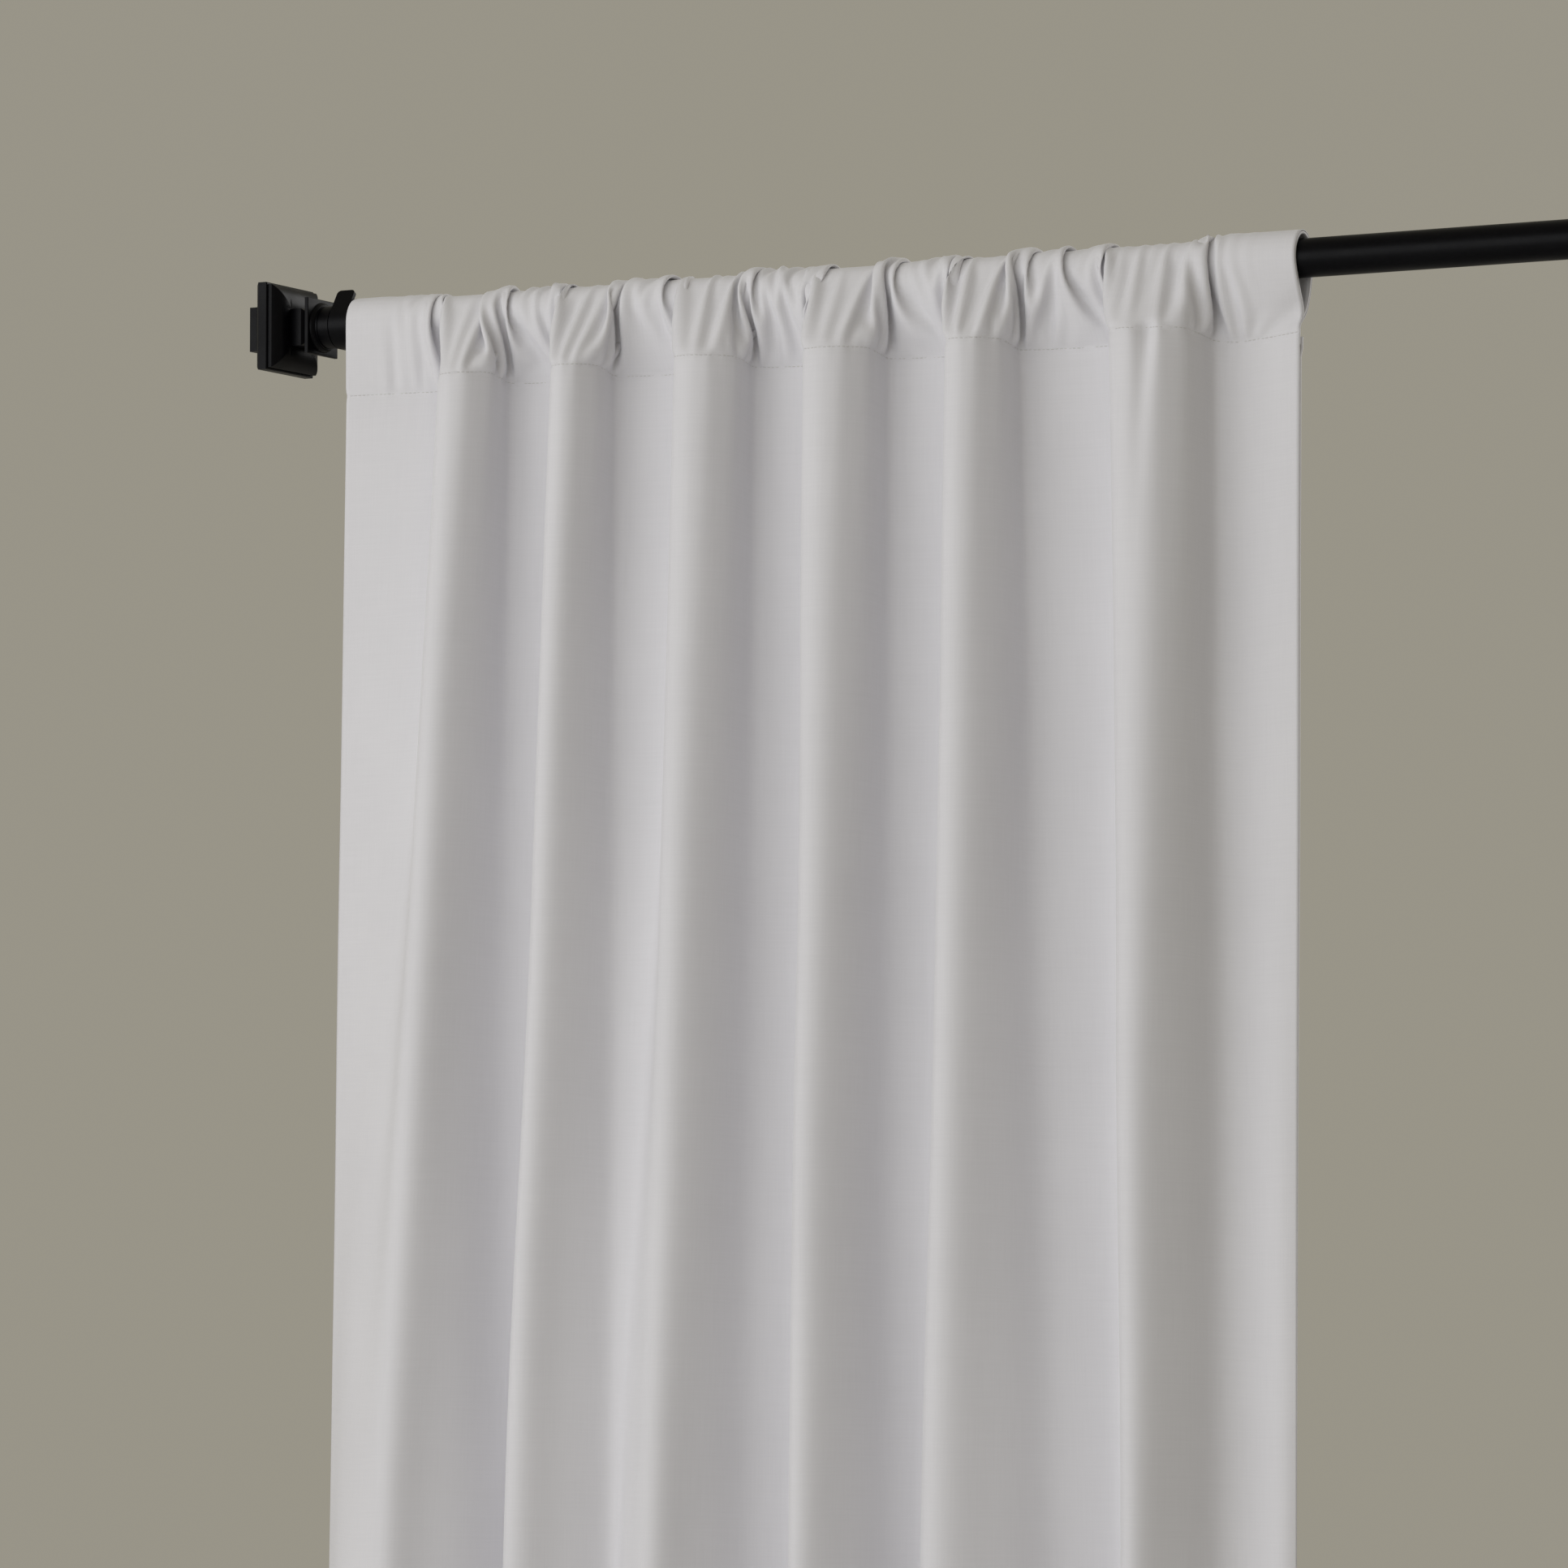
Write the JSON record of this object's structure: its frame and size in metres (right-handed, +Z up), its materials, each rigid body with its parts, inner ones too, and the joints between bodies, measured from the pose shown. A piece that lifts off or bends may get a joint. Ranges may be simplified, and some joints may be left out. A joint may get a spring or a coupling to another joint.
{
  "type": "fabric room curtain panel",
  "caption": "Light grey rod-pocket curtain panel, gathered in soft folds on a black round rod with square stepped finials and J-shaped strap brackets.",
  "frame": {"origin": "on the wall, midway between the two brackets, at the middle height of their wall plates", "axes": "+X along the rod to the right as the curtain is seen from the room, +Y from the room into the wall, +Z up"},
  "size_m": [1.0604, 0.1266, 2.1448],
  "materials": {
    "curtain_cloth": "soft matte close weave with a faint sheen",
    "sewing_thread": "fine matte thread",
    "label_cloth": "smooth woven tape",
    "weight_metal": "dull",
    "plain_steel": "machined",
    "black_tube_paint": "satin powder coat",
    "black_finial_paint": "satin powder coat",
    "black_bracket_paint": "satin powder coat"
  },
  "bodies": {
    "brackets": {"bracket_arm_left": "black_bracket_paint", "bracket_arm_right": "black_bracket_paint", "cradle_screw_left": "black_bracket_paint", "cradle_screw_right": "black_bracket_paint", "cradle_strap_left": "black_bracket_paint", "cradle_strap_right": "black_bracket_paint", "wall_plate_left": "black_bracket_paint", "wall_plate_right": "black_bracket_paint"},
    "rod": {"end_plug_left": "plain_steel", "end_plug_right": "plain_steel", "finial_body_left": "black_finial_paint", "finial_body_right": "black_finial_paint", "finial_cap_left": "black_finial_paint", "finial_cap_right": "black_finial_paint", "finial_collar_left": "black_tube_paint", "finial_collar_right": "black_tube_paint", "finial_plate_left": "black_finial_paint", "finial_plate_right": "black_finial_paint", "finial_stud_left": "plain_steel", "finial_stud_right": "plain_steel", "rod_tube": "black_tube_paint"},
    "panel": {"bottom_hem": "curtain_cloth", "bottom_hem_thread": "sewing_thread", "care_label": "label_cloth", "face_cloth": "curtain_cloth", "hem_weight_left": "weight_metal", "pocket_seam_thread": "sewing_thread", "rod_pocket": "curtain_cloth", "side_hem_left": "curtain_cloth", "side_hem_thread_left": "sewing_thread"},
    "leading_edge": {"hem_weight_right": "weight_metal", "side_hem_right": "curtain_cloth", "side_hem_thread_right": "sewing_thread"}
  },
  "joints": [
    {"name": "rod_lift", "type": "slide", "parent": "brackets", "child": "rod", "axis": [0, 0.5446, 0.8387], "range_m": [0, 0.045]},
    {"name": "panel_slide", "type": "slide", "parent": "rod", "child": "panel", "axis": [1, 0, 0], "range_m": [0, 0.18]},
    {"name": "panel_gather", "type": "slide", "parent": "panel", "child": "leading_edge", "axis": [-1, 0, 0], "range_m": [0, 0.25], "deforming": ["face_cloth", "rod_pocket", "bottom_hem", "pocket_seam_thread", "bottom_hem_thread"]}
  ]
}
